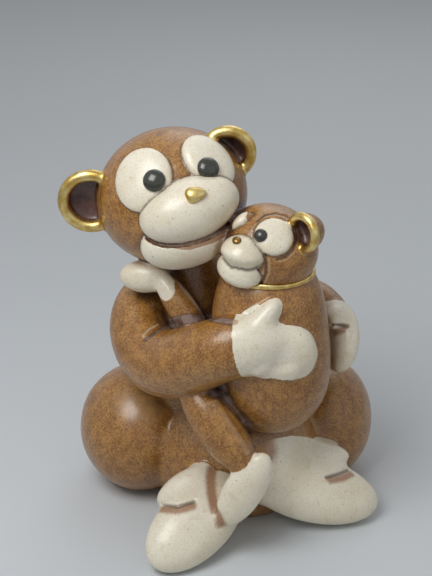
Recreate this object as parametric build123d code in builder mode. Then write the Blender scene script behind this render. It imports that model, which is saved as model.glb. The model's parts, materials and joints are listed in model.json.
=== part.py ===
"""Hand-painted ceramic monkey mother sitting with her baby in her arms.

The figurine is cast and pressed as separate clay pieces that are luted together before firing. Each piece
is one solid here. +Z is up, the viewer stands at -Y, and the origin is on the table, under the lap.
"""

from build123d import *

import math
import os
from dataclasses import dataclass

# Driving dimensions, in millimetres and degrees

# Mother's body casting
torso_height = 114.0
torso_width = 58.0
torso_depth = 50.0
torso_setback = 13.0
torso_lean_left = 10.0
torso_lean_forward = 6.0
casting_wall = 4.5
vent_diameter = 11.0
vent_setback = 12.0
lap_width = 70.0
lap_depth = 54.0
lap_height = 52.0
lap_rise_share = 0.40
lap_forward = 7.0
lap_right = 8.0

# Haunches, the folded thighs
right_haunch_width = 52.0
right_haunch_depth = 56.0
right_haunch_height = 54.0
right_haunch_out = 31.6
right_haunch_forward = -5.0
left_haunch_width = 40.0
left_haunch_depth = 50.0
left_haunch_height = 52.0
left_haunch_out = 47.0
left_haunch_forward = -14.0
haunch_bedding = 1.6

# Mother's head
head_width = 59.0
head_depth = 54.0
head_height = 53.0
head_tilt = 14.0
head_bite = 9.0
head_left = 7.0
head_forward = 7.0
muzzle_width = 39.0
muzzle_height = 24.0
muzzle_reach = 13.0
muzzle_sink = 3.0
chin_width = 36.0
chin_height = 24.0
chin_reach = 11.0
lip_gap = 1.5
mouth_recess = 1.6
nose_width = 7.4
nose_height = 5.8
nose_bulge = 2.4
right_eye_width = 23.0
right_eye_height = 25.0
left_eye_width = 20.0
left_eye_height = 24.0
eye_bulge = 3.0
eye_sink = 1.3
pupil_diameter = 8.4
pupil_bulge = 2.6
right_ear_diameter = 26.0
left_ear_diameter = 22.5
ear_back = 6.5
ear_bowl = 4.0
ear_rim = 5.0
right_ear_out = 2.2
left_ear_in = 1.5

# Mother's limbs
upper_arm_thickness = 26.0
right_shoulder_rise_share = 0.775
left_shoulder_rise_share = 0.72
hand_breadth = 25.0
hand_thickness = 13.0
thumb_breadth = 9.0
right_grip_rise_share = 0.59
left_grip_rise_share = 0.25
foot_length = 50.0
foot_breadth = 29.0
foot_thickness = 19.0
foot_roll = 36.0
toe_breadth = 12.0

# Baby
baby_right = 22.0
baby_forward = 26.0
baby_rise = 43.0
baby_height = 68.0
baby_width = 47.0
baby_depth = 44.0
baby_lean_left = 2.0
baby_lean_back = 4.0
baby_head_width = 38.0
baby_head_depth = 36.0
baby_head_height = 33.0
baby_head_tilt = -8.0
baby_head_turn = -38.0
baby_head_bite = 8.5
baby_muzzle_width = 18.0
baby_muzzle_height = 14.0
baby_muzzle_reach = 9.0
baby_muzzle_sink = 2.0
baby_chin_width = 20.0
baby_chin_height = 12.0
baby_chin_reach = 7.5
baby_nose_width = 4.0
baby_nose_bulge = 1.4
baby_left_eye_width = 15.0
baby_left_eye_height = 15.0
baby_right_eye_width = 6.0
baby_right_eye_height = 10.5
baby_eye_bulge = 1.8
baby_pupil_diameter = 5.0
baby_pupil_bulge = 1.8
baby_ear_diameter = 16.0
baby_ear_back = 9.0
baby_ear_bowl = 3.2
baby_ear_rim = 3.6
baby_ear_turn = -12.0
baby_ear_out = 3.0
baby_arm_thickness = 12.0
baby_hand_breadth = 13.2
baby_leg_thickness = 18.0
baby_foot_breadth = 16.0
baby_foot_thickness = 11.0
collar_wire = 3.0
collar_rise_share = 0.985
collar_standoff_share = 0.15

# Profiles: each row is a share of the height and a share of the width
torso_profile_shares = [
    (0.0, 0.80),
    (0.10, 0.95),
    (0.28, 1.0),
    (0.48, 0.92),
    (0.66, 0.76),
    (0.82, 0.56),
    (0.93, 0.36),
    (0.98, 0.2),
]
baby_profile_shares = [
    (0.015, 0.26),
    (0.06, 0.52),
    (0.16, 0.80),
    (0.32, 0.98),
    (0.48, 1.0),
    (0.66, 0.97),
    (0.82, 0.90),
    (0.93, 0.80),
    (1.0, 0.64),
]

# A small step along a profile, to find which way its surface faces
step_share = 0.02

# Limb paths: each row is a share of the way between two anchors and an offset in shares of the span
right_arm_shares = [
    (0.0, 0.08, 0.0, 0.03),
    (0.05, -0.15, -0.14, -0.12),
    (0.23, -0.20, -0.22, -0.20),
    (0.49, -0.20, -0.25, -0.08),
    (0.70, -0.17, -0.22, 0.04),
    (0.83, -0.10, -0.13, 0.02),
]
right_arm_girth_shares = [(0, 0.84, 0.84), (2, 1.04, 1.0), (4, 0.90, 0.80), (5, 0.82, 0.42)]
right_palm_shares = [(0.66, -0.17, -0.22, 0.02), (0.98, -0.03, -0.03, -0.01)]
right_thumb_shares = [(0.72, -0.19, -0.24, 0.04), (0.82, -0.09, -0.12, 0.27)]
left_arm_shares = [
    (-0.14, 0.06, 0.02, 0.0),
    (0.20, 0.22, 0.20, 0.06),
    (0.48, 0.27, 0.24, 0.16),
    (0.66, 0.27, 0.22, 0.12),
]
left_arm_girth_shares = [(0, 0.80, 0.80), (1, 0.86, 0.84), (2, 0.84, 0.70), (3, 0.70, 0.36)]
left_palm_shares = [(0.48, 0.36, 0.22, 0.24), (0.86, 0.16, 0.14, 0.02)]
left_thumb_shares = [(0.52, 0.35, 0.16, 0.28), (0.72, 0.17, 0.06, 0.30)]

# Ends of each foot and of its big toe, in shares of the foot length from the floor under the lap
right_sole_shares = [(0.02, -0.48, 0.44), (-0.66, -1.18, 0.10)]
right_toe_shares = [(-0.20, -0.50, 0.56), (-0.64, -0.70, 0.34)]
left_sole_shares = [(0.04, -0.40, 0.44), (1.18, -0.36, 0.12)]
left_toe_shares = [(0.30, -0.16, 0.52), (0.96, -0.18, 0.46)]

# The baby's limbs, in shares of its height from the middle of its seat
baby_thigh_shares = [(-0.50, -0.12, 0.38), (-0.13, -0.36, -0.08)]
baby_foot_shares = [(-0.04, -0.35, 0.04), (-0.29, -0.41, -0.40)]
baby_forearm_shares = [(-0.66, 0.23, 0.90), (-0.37, 0.06, 0.50)]
baby_hand_shares = [(-0.88, 0.28, 0.85), (-0.58, 0.22, 0.86)]


def facing(x, y, z, tilt=0.0, turn=0.0, nod=0.0):
    """A plane at a place, with x to the viewer's right, y up and z towards the viewer."""
    front = Plane(origin=(x, y, z), x_dir=(1, 0, 0), z_dir=(0, -1, 0))
    return Plane(front.location * Location((0, 0, 0), (0, turn, 0)) * Location((0, 0, 0), (nod, 0, tilt)))


pole_turns = {"out": (0, 0, 0), "up": (90, 0, 0), "along": (0, 90, 0)}


@dataclass
class Egg:
    """A ball with three half-extents, in a plane whose x runs across, y up and z out of the face.

    Its poles go where the piece stays whole: out of the face, up, or along its length.
    """

    plane: Plane
    reach: tuple
    poles: str = "out"

    def seat(self, azimuth, elevation, out=0.0, turn=0.0):
        """A plane on the surface, z outwards, at an azimuth to the right and an elevation."""
        side, rise = math.radians(azimuth), math.radians(elevation)
        unit = (math.cos(rise) * math.sin(side), math.sin(rise), math.cos(rise) * math.cos(side))
        spot = Vector(*(u * r for u, r in zip(unit, self.reach)))
        away = Vector(*(u / r for u, r in zip(unit, self.reach))).normalized()
        normal = self.plane.from_local_coords(spot + away) - self.plane.from_local_coords(spot)
        across = self.plane.y_dir.cross(normal)
        origin = self.plane.from_local_coords(spot + away * out)
        upright = Plane(origin=origin, x_dir=across, z_dir=normal)
        return Plane(upright.location * Location((0, 0, 0), (0, 0, turn)))

    def solid(self, grow=0.0):
        """The closed solid, grown all round."""
        with BuildPart() as ball:
            Sphere(1, rotation=pole_turns[self.poles])
            scale(by=tuple(r + grow for r in self.reach))
        return self.plane.location * ball.part


@dataclass
class Pear:
    """A standing body of oval sections, from a foot point, with a lean and a profile of girths."""

    foot: tuple
    size: tuple
    lean: tuple
    profile: list

    def girth(self, rise):
        """The share of the full width at a share of the height."""
        below = [row for row in self.profile if row[0] <= rise] or self.profile[:1]
        above = [row for row in self.profile if row[0] > rise] or self.profile[-1:]
        (low, slim), (high, wide) = below[-1], above[0]
        return slim if high == low else slim + (wide - slim) * (rise - low) / (high - low)

    def point(self, azimuth, rise):
        """The surface point at an azimuth from the viewer's side and a share of the height."""
        turn, girth = math.radians(azimuth), self.girth(rise)
        width, depth, height = self.size
        return Vector(
            self.foot[0] + self.lean[0] * rise + width / 2 * girth * math.sin(turn),
            self.foot[1] + self.lean[1] * rise - depth / 2 * girth * math.cos(turn),
            self.foot[2] + height * rise,
        )

    def seat(self, azimuth, rise, out=0.0):
        """A plane on the surface, z outwards and y up."""
        spot = self.point(azimuth, rise)
        up = self.point(azimuth, rise + step_share) - self.point(azimuth, rise - step_share)
        across = self.point(azimuth + 1, rise) - self.point(azimuth - 1, rise)
        normal = across.cross(up).normalized()
        return Plane(origin=spot + normal * out, x_dir=across, z_dir=normal)

    def solid(self, wall=0.0, flat_foot=False):
        """The closed solid, or the hollow that a wall leaves."""
        width, depth, height = self.size
        tall = height - 2 * wall
        base = self.foot[2] + wall
        sections = []
        for rise, girth in self.profile:
            middle = (
                self.foot[0] + self.lean[0] * rise,
                self.foot[1] + self.lean[1] * rise,
                base + tall * rise,
            )
            with BuildSketch(Plane(origin=middle)) as section:
                Ellipse((width / 2 - wall) * girth, (depth / 2 - wall) * girth)
            sections.append(section.sketch)
        if not flat_foot:
            sections.insert(0, Vertex(self.foot[0], self.foot[1], base))
        if self.profile[-1][0] < 1:
            sections.append(Vertex(self.foot[0] + self.lean[0], self.foot[1] + self.lean[1], base + tall))
        with BuildPart() as form:
            loft(sections=sections)
        return form.part


def bean(start, end, breadth, thickness, face):
    """An egg whose long way runs between two points, with its broad side towards a direction."""
    along = (end - start).normalized()
    across = face.cross(along).normalized()
    place = Plane(origin=(start + end) / 2, x_dir=along, z_dir=along.cross(across))
    return Egg(place, ((end - start).length / 2, breadth / 2, thickness / 2), "along")


def strand(start, end, rows):
    """Points between two anchors, by a share of the way and a sideways offset in shares of the span."""
    span = end - start
    return [start + span * along + Vector(x, y, z) * span.length for along, x, y, z in rows]


def limb(points, heart, breadth, thickness, girths):
    """A limb swept along a curve through points, with its broad side turned away from an upright axis.

    Each row of girths is the number of a point, a share of the breadth and a share of the thickness.
    """
    with BuildLine() as way:
        Spline(*points)
    path = way.edge()
    sections = []
    for i, wide, thick in girths:
        away = Vector(points[i].X - heart.X, points[i].Y - heart.Y, 0)
        along = path.tangent_at(path.param_at_point(points[i]))
        with BuildSketch(Plane(origin=points[i], x_dir=away.cross(along), z_dir=along)) as section:
            Ellipse(breadth / 2 * wide, thickness / 2 * thick)
        sections.append(section.sketch)
    with BuildPart() as form:
        sweep(sections=sections, path=path, multisection=True)
    return form.part


def save(name, builder):
    """Writes one piece under its name, as the largest solid that its cuts left."""
    piece = builder.part.solids().sort_by(SortBy.VOLUME)[-1]
    piece.label = name
    os.makedirs("parts", exist_ok=True)
    export_step(piece, f"parts/{name}.step")


# The body casting: hollow torso and lap, with a kiln vent in its flat base

torso = Pear(
    (0, torso_setback, 0),
    (torso_width, torso_depth, torso_height),
    (-torso_lean_left, -torso_lean_forward),
    torso_profile_shares,
)
lap = Egg(
    facing(lap_right, -lap_forward, lap_height * lap_rise_share),
    (lap_width / 2, lap_height * (1 - lap_rise_share), lap_depth / 2),
    "up",
)
body_envelope = torso.solid(flat_foot=True) + lap.solid()
with BuildPart() as mother_body:
    add(body_envelope)
    add(torso.solid(casting_wall, flat_foot=True), mode=Mode.SUBTRACT)
    with Locations((0, torso_setback + vent_setback, 0)):
        Cylinder(vent_diameter / 2, 3 * casting_wall, mode=Mode.SUBTRACT)
    split(bisect_by=Plane.XY, keep=Keep.TOP)
save("mother_body", mother_body)

# The haunches

right_haunch = Egg(
    facing(-right_haunch_out, -right_haunch_forward, right_haunch_height / 2 - haunch_bedding),
    (right_haunch_width / 2, right_haunch_height / 2, right_haunch_depth / 2),
    "up",
)
left_haunch = Egg(
    facing(left_haunch_out, -left_haunch_forward, left_haunch_height / 2 - haunch_bedding),
    (left_haunch_width / 2, left_haunch_height / 2, left_haunch_depth / 2),
    "up",
)
with BuildPart() as mother_right_haunch:
    add(right_haunch.solid())
    add(body_envelope, mode=Mode.SUBTRACT)
    split(bisect_by=Plane.XY, keep=Keep.TOP)
save("mother_right_haunch", mother_right_haunch)

with BuildPart() as mother_left_haunch:
    add(left_haunch.solid())
    add(body_envelope, mode=Mode.SUBTRACT)
    split(bisect_by=Plane.XY, keep=Keep.TOP)
save("mother_left_haunch", mother_left_haunch)

# The mother's head and face

head = Egg(
    facing(
        -torso_lean_left - head_left,
        torso_setback - torso_lean_forward - head_forward,
        torso_height - head_bite + head_height / 2,
        tilt=head_tilt,
    ),
    (head_width / 2, head_height / 2, head_depth / 2),
    "up",
)
with BuildPart() as mother_head:
    add(head.solid())
    add(body_envelope, mode=Mode.SUBTRACT)
save("mother_head", mother_head)

muzzle = Egg(
    head.seat(17, 4.5, out=-muzzle_sink, turn=2),
    (muzzle_width / 2, muzzle_height / 2, muzzle_reach),
)
with BuildPart() as mother_muzzle:
    add(muzzle.solid())
    add(head.solid(), mode=Mode.SUBTRACT)
save("mother_muzzle", mother_muzzle)

chin = Egg(
    head.seat(9, -25, out=-muzzle_sink, turn=2),
    (chin_width / 2, chin_height / 2, chin_reach),
)
with BuildPart() as mother_chin:
    add(chin.solid())
    add(head.solid(), mode=Mode.SUBTRACT)
    add(muzzle.solid(grow=lip_gap), mode=Mode.SUBTRACT)
save("mother_chin", mother_chin)

with BuildPart() as mother_mouth:
    add(chin.solid(grow=-mouth_recess))
    add(head.solid(), mode=Mode.SUBTRACT)
    add(muzzle.solid(), mode=Mode.SUBTRACT)
    add(mother_chin.part, mode=Mode.SUBTRACT)
save("mother_mouth", mother_mouth)

nose = Egg(muzzle.seat(6, 36), (nose_width / 2, nose_height / 2, nose_bulge))
with BuildPart() as mother_nose:
    add(nose.solid())
    add(muzzle.solid(), mode=Mode.SUBTRACT)
    add(head.solid(), mode=Mode.SUBTRACT)
save("mother_nose", mother_nose)

right_eye = Egg(
    head.seat(-16, 38, out=-eye_sink),
    (right_eye_width / 2, right_eye_height / 2, eye_bulge + eye_sink),
)
with BuildPart() as mother_right_eye:
    add(right_eye.solid())
    add(head.solid(), mode=Mode.SUBTRACT)
    add(muzzle.solid(), mode=Mode.SUBTRACT)
    add(nose.solid(), mode=Mode.SUBTRACT)
save("mother_right_eye", mother_right_eye)

left_eye = Egg(
    head.seat(52, 35, out=-eye_sink),
    (left_eye_width / 2, left_eye_height / 2, eye_bulge + eye_sink),
)
with BuildPart() as mother_left_eye:
    add(left_eye.solid())
    add(head.solid(), mode=Mode.SUBTRACT)
    add(muzzle.solid(), mode=Mode.SUBTRACT)
    add(nose.solid(), mode=Mode.SUBTRACT)
save("mother_left_eye", mother_left_eye)

right_pupil = Egg(right_eye.seat(30, -9), (pupil_diameter / 2, pupil_diameter / 2, pupil_bulge))
with BuildPart() as mother_right_pupil:
    add(right_pupil.solid())
    add(right_eye.solid(), mode=Mode.SUBTRACT)
    add(muzzle.solid(), mode=Mode.SUBTRACT)
save("mother_right_pupil", mother_right_pupil)

left_pupil = Egg(left_eye.seat(-33, -13), (pupil_diameter / 2, pupil_diameter / 2, pupil_bulge))
with BuildPart() as mother_left_pupil:
    add(left_pupil.solid())
    add(left_eye.solid(), mode=Mode.SUBTRACT)
    add(muzzle.solid(), mode=Mode.SUBTRACT)
save("mother_left_pupil", mother_left_pupil)


@dataclass
class Ear:
    """A cupped ear with a raised rim, on a plane whose z looks out of the cup."""

    plane: Plane
    diameter: float
    back: float
    bowl: float
    rim: float

    def shell(self):
        """The cup with its rounded back, behind its rim."""
        reach = self.diameter / 2 - self.rim / 5
        hollow = (self.diameter - self.rim) / 2
        with BuildPart() as cup:
            add(Egg(self.plane, (reach, reach, self.back)).solid())
            split(bisect_by=self.plane, keep=Keep.BOTTOM)
            add(Egg(self.plane, (hollow, hollow, self.bowl)).solid(), mode=Mode.SUBTRACT)
            add(self.ring(), mode=Mode.SUBTRACT)
        return cup.part

    def ring(self):
        """The rounded rim."""
        with BuildPart() as bead:
            Torus((self.diameter - self.rim) / 2, self.rim / 2)
        return self.plane.location * bead.part


def forward_ear(skull, seat, turn, diameter, back, bowl, rim):
    """An ear at a seat on a head, that looks the way the face does, or is turned from it."""
    facing_out = Plane(seat.origin, x_dir=skull.plane.x_dir, z_dir=skull.plane.z_dir)
    return Ear(Plane(facing_out.location * Location((0, 0, 0), (0, turn, 0))), diameter, back, bowl, rim)


right_ear = forward_ear(
    head, head.seat(-81, 14, out=right_ear_out), 0, right_ear_diameter, ear_back, ear_bowl, ear_rim
)
left_ear = forward_ear(
    head, head.seat(92, 27, out=-left_ear_in), 0, left_ear_diameter, ear_back, ear_bowl, ear_rim
)
with BuildPart() as mother_right_ear:
    add(right_ear.shell())
    add(head.solid(), mode=Mode.SUBTRACT)
save("mother_right_ear", mother_right_ear)

with BuildPart() as mother_right_ear_rim:
    add(right_ear.ring())
    add(head.solid(), mode=Mode.SUBTRACT)
save("mother_right_ear_rim", mother_right_ear_rim)

with BuildPart() as mother_left_ear:
    add(left_ear.shell())
    add(head.solid(), mode=Mode.SUBTRACT)
save("mother_left_ear", mother_left_ear)

with BuildPart() as mother_left_ear_rim:
    add(left_ear.ring())
    add(head.solid(), mode=Mode.SUBTRACT)
save("mother_left_ear_rim", mother_left_ear_rim)

# The baby's body and head, which the limbs are fitted around

baby = Pear(
    (baby_right, -baby_forward, baby_rise),
    (baby_width, baby_depth, baby_height),
    (-baby_lean_left, baby_lean_back),
    baby_profile_shares,
)
with BuildPart() as baby_body:
    add(baby.solid())
    add(body_envelope, mode=Mode.SUBTRACT)
    add(left_haunch.solid(), mode=Mode.SUBTRACT)
save("baby_body", baby_body)

# The mother's feet, cut flat where they stand


def foot(sole_shares, toe_shares, toe_side):
    """The eggs of a foot and its big toe, rolled over to show the upper side to the viewer."""
    under_lap = Vector(lap_right, -lap_forward, 0)
    heel, tip = [under_lap + Vector(*row) * foot_length for row in sole_shares]
    toe_ends = [under_lap + Vector(*row) * foot_length for row in toe_shares]
    along = (tip - heel).normalized()
    side = Vector(0, 0, 1).cross(along).normalized() * toe_side
    up = side.cross(along) if toe_side < 0 else along.cross(side)
    lean = math.radians(foot_roll)
    face = up * math.cos(lean) - side * math.sin(lean)
    sole = bean(heel, tip, foot_breadth, foot_thickness, face)
    toe = bean(*toe_ends, toe_breadth, toe_breadth, face)
    return sole, toe


right_foot = foot(right_sole_shares, right_toe_shares, toe_side=-1)
left_foot = foot(left_sole_shares, left_toe_shares, toe_side=1)
with BuildPart() as mother_right_foot:
    add([egg.solid() for egg in right_foot])
    add(lap.solid(), mode=Mode.SUBTRACT)
    add(torso.solid(flat_foot=True), mode=Mode.SUBTRACT)
    add(right_haunch.solid(), mode=Mode.SUBTRACT)
    split(bisect_by=Plane.XY, keep=Keep.TOP)
save("mother_right_foot", mother_right_foot)

with BuildPart() as mother_left_foot:
    add([egg.solid() for egg in left_foot])
    add(lap.solid(), mode=Mode.SUBTRACT)
    add(torso.solid(flat_foot=True), mode=Mode.SUBTRACT)
    add(left_haunch.solid(), mode=Mode.SUBTRACT)
    split(bisect_by=Plane.XY, keep=Keep.TOP)
save("mother_left_foot", mother_left_foot)

# The mother's arms, each rolled in one with its hand and parted at the wrist

heart = Vector(baby_right, -baby_forward, 0)
right_shoulder = torso.seat(-95, right_shoulder_rise_share, out=-upper_arm_thickness / 8).origin
left_shoulder = torso.seat(95, left_shoulder_rise_share, out=-upper_arm_thickness / 8).origin
right_grip = baby.seat(52, right_grip_rise_share, out=hand_thickness / 3).origin
left_grip = baby.seat(75, left_grip_rise_share, out=hand_thickness / 3).origin
right_path = strand(right_shoulder, right_grip, right_arm_shares)
left_path = strand(left_shoulder, left_grip, left_arm_shares)
right_wrist = Plane(origin=right_path[4], z_dir=right_path[5] - right_path[3])
left_wrist = Plane(origin=left_path[2], z_dir=left_path[3] - left_path[1])


def hand(shoulder, grip, palm_shares, thumb_shares):
    """The palm and thumb eggs of a mitten hand that lies against the baby."""
    palm_ends = strand(shoulder, grip, palm_shares)
    thumb_ends = strand(shoulder, grip, thumb_shares)
    middle = (palm_ends[0] + palm_ends[1]) / 2
    away = Vector(middle.X - heart.X, middle.Y - heart.Y, 0)
    palm = bean(palm_ends[0], palm_ends[1], hand_breadth, hand_thickness, away)
    thumb = bean(thumb_ends[0], thumb_ends[1], thumb_breadth, thumb_breadth, away)
    return palm, thumb


right_limb = limb(right_path, heart, upper_arm_thickness, upper_arm_thickness, right_arm_girth_shares)
left_limb = limb(left_path, heart, upper_arm_thickness, upper_arm_thickness, left_arm_girth_shares)
right_palm, right_thumb = hand(right_shoulder, right_grip, right_palm_shares, right_thumb_shares)
left_palm, left_thumb = hand(left_shoulder, left_grip, left_palm_shares, left_thumb_shares)

with BuildPart() as mother_right_arm:
    add(right_limb)
    split(bisect_by=right_wrist, keep=Keep.BOTTOM)
    add(torso.solid(flat_foot=True), mode=Mode.SUBTRACT)
    add(lap.solid(), mode=Mode.SUBTRACT)
    add(right_haunch.solid(), mode=Mode.SUBTRACT)
    add(head.solid(), mode=Mode.SUBTRACT)
    add(baby.solid(), mode=Mode.SUBTRACT)
save("mother_right_arm", mother_right_arm)

with BuildPart() as mother_right_hand:
    add(right_limb)
    add(right_palm.solid())
    add(right_thumb.solid())
    split(bisect_by=right_wrist, keep=Keep.TOP)
    add(baby.solid(), mode=Mode.SUBTRACT)
save("mother_right_hand", mother_right_hand)

with BuildPart() as mother_left_arm:
    add(left_limb)
    split(bisect_by=left_wrist, keep=Keep.BOTTOM)
    add(torso.solid(flat_foot=True), mode=Mode.SUBTRACT)
    add(left_haunch.solid(), mode=Mode.SUBTRACT)
    add(baby.solid(), mode=Mode.SUBTRACT)
save("mother_left_arm", mother_left_arm)

with BuildPart() as mother_left_hand:
    add(left_limb)
    add(left_palm.solid())
    add(left_thumb.solid())
    split(bisect_by=left_wrist, keep=Keep.TOP)
    add(baby.solid(), mode=Mode.SUBTRACT)
    add(left_haunch.solid(), mode=Mode.SUBTRACT)
save("mother_left_hand", mother_left_hand)

# The baby's head, face and collar

baby_head_form = Egg(
    facing(
        baby_right - baby_lean_left,
        -baby_forward + baby_lean_back,
        baby_rise + baby_height - baby_head_bite + baby_head_height / 2,
        tilt=baby_head_tilt,
        turn=baby_head_turn,
    ),
    (baby_head_width / 2, baby_head_height / 2, baby_head_depth / 2),
    "up",
)
mother_face = [head.solid(), muzzle.solid(), chin.solid()]
with BuildPart() as baby_head:
    add(baby_head_form.solid())
    add(baby.solid(), mode=Mode.SUBTRACT)
    add(mother_face, mode=Mode.SUBTRACT)
save("baby_head", baby_head)

baby_muzzle_form = Egg(
    baby_head_form.seat(-1, 11, out=-baby_muzzle_sink),
    (baby_muzzle_width / 2, baby_muzzle_height / 2, baby_muzzle_reach),
)
with BuildPart() as baby_muzzle:
    add(baby_muzzle_form.solid())
    add(baby_head_form.solid(), mode=Mode.SUBTRACT)
    add(mother_face, mode=Mode.SUBTRACT)
save("baby_muzzle", baby_muzzle)

baby_chin_form = Egg(
    baby_head_form.seat(-5, -17, out=-baby_muzzle_sink),
    (baby_chin_width / 2, baby_chin_height / 2, baby_chin_reach),
)
with BuildPart() as baby_chin:
    add(baby_chin_form.solid())
    add(baby_head_form.solid(), mode=Mode.SUBTRACT)
    add(baby.solid(), mode=Mode.SUBTRACT)
    add(baby_muzzle_form.solid(), mode=Mode.SUBTRACT)
    add(mother_face, mode=Mode.SUBTRACT)
save("baby_chin", baby_chin)

baby_nose_form = Egg(
    baby_muzzle_form.seat(-14, 52), (baby_nose_width / 2, baby_nose_width / 2, baby_nose_bulge)
)
with BuildPart() as baby_nose:
    add(baby_nose_form.solid())
    add(baby_muzzle_form.solid(), mode=Mode.SUBTRACT)
    add(baby_head_form.solid(), mode=Mode.SUBTRACT)
save("baby_nose", baby_nose)

baby_left_eye_form = Egg(
    baby_head_form.seat(36, 46, out=-eye_sink),
    (baby_left_eye_width / 2, baby_left_eye_height / 2, eye_sink + baby_eye_bulge),
)
baby_right_eye_form = Egg(
    baby_head_form.seat(-36, 48, out=-eye_sink),
    (baby_right_eye_width / 2, baby_right_eye_height / 2, eye_sink + baby_eye_bulge),
)
with BuildPart() as baby_left_eye:
    add(baby_left_eye_form.solid())
    add(baby_head_form.solid(), mode=Mode.SUBTRACT)
    add(baby_muzzle_form.solid(), mode=Mode.SUBTRACT)
save("baby_left_eye", baby_left_eye)

with BuildPart() as baby_right_eye:
    add(baby_right_eye_form.solid())
    add(baby_left_eye_form.solid(), mode=Mode.SUBTRACT)
    add(baby_head_form.solid(), mode=Mode.SUBTRACT)
    add(baby_muzzle_form.solid(), mode=Mode.SUBTRACT)
    add(mother_face, mode=Mode.SUBTRACT)
save("baby_right_eye", baby_right_eye)

baby_pupil_form = Egg(
    baby_left_eye_form.seat(-42, -8), (baby_pupil_diameter / 2, baby_pupil_diameter / 2, baby_pupil_bulge)
)
with BuildPart() as baby_left_pupil:
    add(baby_pupil_form.solid())
    add(baby_left_eye_form.solid(), mode=Mode.SUBTRACT)
save("baby_left_pupil", baby_left_pupil)

baby_ear = forward_ear(
    baby_head_form,
    baby_head_form.seat(78, 44, out=baby_ear_out),
    baby_ear_turn,
    baby_ear_diameter,
    baby_ear_back,
    baby_ear_bowl,
    baby_ear_rim,
)
with BuildPart() as baby_left_ear:
    add(baby_ear.shell())
    add(baby_left_eye_form.solid(), mode=Mode.SUBTRACT)
    add(baby_head_form.solid(), mode=Mode.SUBTRACT)
save("baby_left_ear", baby_left_ear)

with BuildPart() as baby_left_ear_rim:
    add(baby_ear.ring())
    add(baby_left_eye_form.solid(), mode=Mode.SUBTRACT)
    add(baby_head_form.solid(), mode=Mode.SUBTRACT)
save("baby_left_ear_rim", baby_left_ear_rim)

# The baby's collar, arm, leg and foot

neck = Vector(*baby.foot) + Vector(*baby.lean, baby_height) * collar_rise_share
neck_girth = baby.girth(collar_rise_share)
neck_half_width = baby_width / 2 * neck_girth + collar_wire * collar_standoff_share
neck_half_depth = baby_depth / 2 * neck_girth + collar_wire * collar_standoff_share
with BuildPart() as baby_collar:
    for joint in (30, 210):
        with BuildLine(Plane(origin=neck)) as loop:
            EllipticalCenterArc((0, 0), neck_half_width, neck_half_depth, start_angle=joint, arc_size=180)
        with BuildSketch(Plane(origin=loop.edge() @ 0, z_dir=loop.edge() % 0)):
            Circle(collar_wire / 2)
        sweep()
    add(baby.solid(), mode=Mode.SUBTRACT)
    add(baby_head_form.solid(), mode=Mode.SUBTRACT)
    add(baby_chin_form.solid(), mode=Mode.SUBTRACT)
save("baby_collar", baby_collar)


def from_seat(rows):
    """Points in shares of the baby's height from the middle of its seat."""
    return [Vector(*baby.foot) + Vector(*row) * baby_height for row in rows]


front = Vector(0, -1, 0)
thigh = bean(*from_seat(baby_thigh_shares), baby_leg_thickness, baby_leg_thickness, front)
with BuildPart() as baby_left_leg:
    add(thigh.solid())
    add(baby.solid(), mode=Mode.SUBTRACT)
    add(lap.solid(), mode=Mode.SUBTRACT)
    add(mother_right_arm.part, mode=Mode.SUBTRACT)
save("baby_left_leg", baby_left_leg)

heel_to_toe = bean(*from_seat(baby_foot_shares), baby_foot_breadth, baby_foot_thickness, front)
with BuildPart() as baby_left_foot:
    add(heel_to_toe.solid())
    add(thigh.solid(), mode=Mode.SUBTRACT)
    add(baby.solid(), mode=Mode.SUBTRACT)
    add(lap.solid(), mode=Mode.SUBTRACT)
    for egg in right_foot + left_foot:
        add(egg.solid(), mode=Mode.SUBTRACT)
save("baby_left_foot", baby_left_foot)

forearm = bean(*from_seat(baby_forearm_shares), baby_arm_thickness, baby_arm_thickness, front)
palm = bean(*from_seat(baby_hand_shares), baby_hand_breadth, baby_arm_thickness, front)
with BuildPart() as baby_left_arm:
    add(forearm.solid())
    add(baby.solid(), mode=Mode.SUBTRACT)
    add(torso.solid(flat_foot=True), mode=Mode.SUBTRACT)
    add(mother_right_arm.part, mode=Mode.SUBTRACT)
    add(head.solid(), mode=Mode.SUBTRACT)
save("baby_left_arm", baby_left_arm)

with BuildPart() as baby_left_hand:
    add(palm.solid())
    add(forearm.solid(), mode=Mode.SUBTRACT)
    add(torso.solid(flat_foot=True), mode=Mode.SUBTRACT)
    add(mother_right_arm.part, mode=Mode.SUBTRACT)
    add(head.solid(), mode=Mode.SUBTRACT)
save("baby_left_hand", baby_left_hand)
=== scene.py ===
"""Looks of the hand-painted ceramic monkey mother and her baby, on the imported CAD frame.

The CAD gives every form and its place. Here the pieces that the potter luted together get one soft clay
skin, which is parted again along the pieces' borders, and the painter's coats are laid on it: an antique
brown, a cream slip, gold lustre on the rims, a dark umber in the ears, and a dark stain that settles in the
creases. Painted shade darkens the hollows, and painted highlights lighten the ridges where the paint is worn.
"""

import json
import logging
import math
from dataclasses import dataclass, field
from enum import Enum
from typing import Any, Sequence

import bmesh
import bpy
import numpy as np
from mathutils import Matrix, Vector, noise
from mathutils.bvhtree import BVHTree
from mathutils.kdtree import KDTree

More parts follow.
